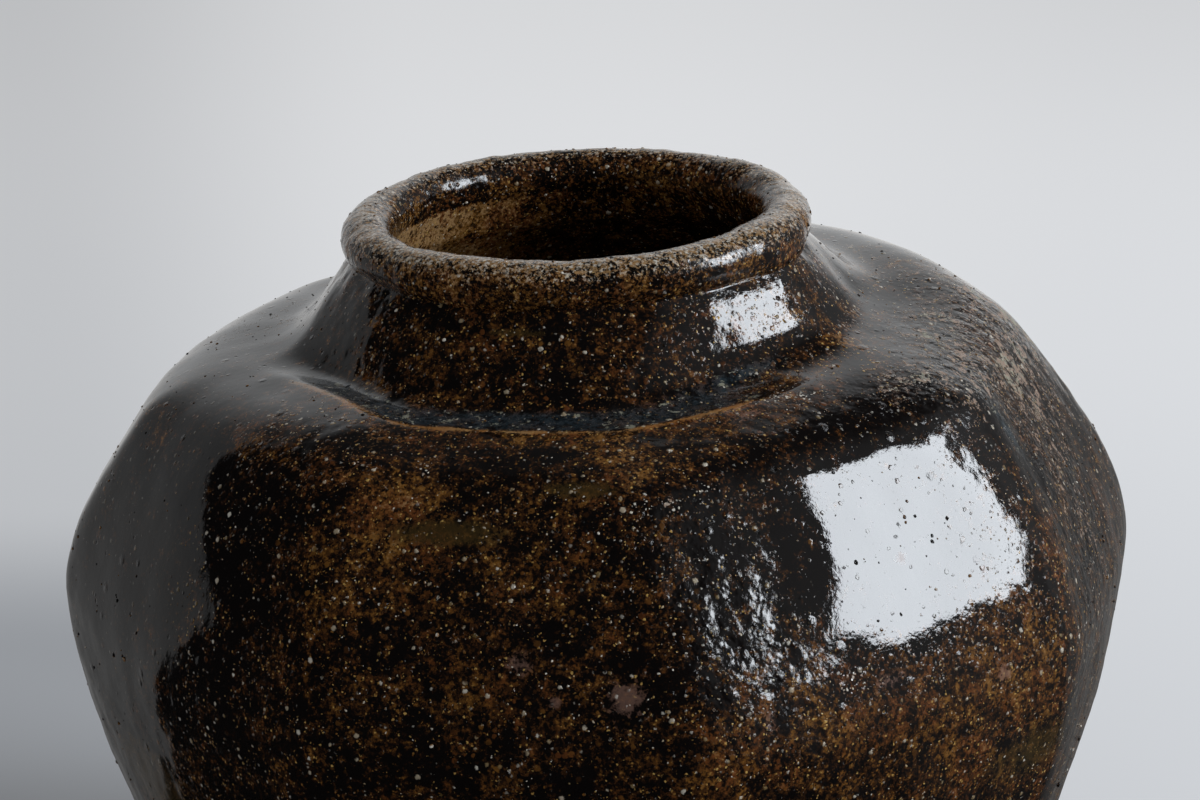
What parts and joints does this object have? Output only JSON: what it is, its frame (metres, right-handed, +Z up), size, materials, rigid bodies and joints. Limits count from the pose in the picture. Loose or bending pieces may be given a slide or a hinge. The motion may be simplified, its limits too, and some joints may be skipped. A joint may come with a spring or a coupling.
{
  "type": "preserving jar",
  "caption": "Hand-built glazed stoneware preserving jar with paddled flat panels, a ledge round the neck and a rolled rim; open mouth, flat foot, no lid.",
  "frame": {"origin": "middle of the flat foot, on the surface that the jar stands on", "axes": "+Z up through the mouth; the pictured front faces -Y and its right side is +X"},
  "size_m": [0.2178, 0.2139, 0.1961],
  "materials": {
    "bare_clay": "unglazed stoneware, fired brown, matt and slightly gritty",
    "belly_glaze": "dark brown glaze, glossy, with fine pale grit and pits",
    "shoulder_glaze": "amber to black glaze, glossy, with dense pale and golden specks and thin orange edges",
    "neck_glaze": "black brown glaze, glossy, with amber and white specks",
    "rim_glaze": "thin sandy brown glaze over a gritty rolled lip, satin"
  },
  "bodies": {
    "root": {"base_disc": "bare_clay", "lower_wall": "belly_glaze", "upper_wall": "shoulder_glaze", "neck_collar": "neck_glaze", "rolled_rim": "rim_glaze"}
  },
  "joints": []
}
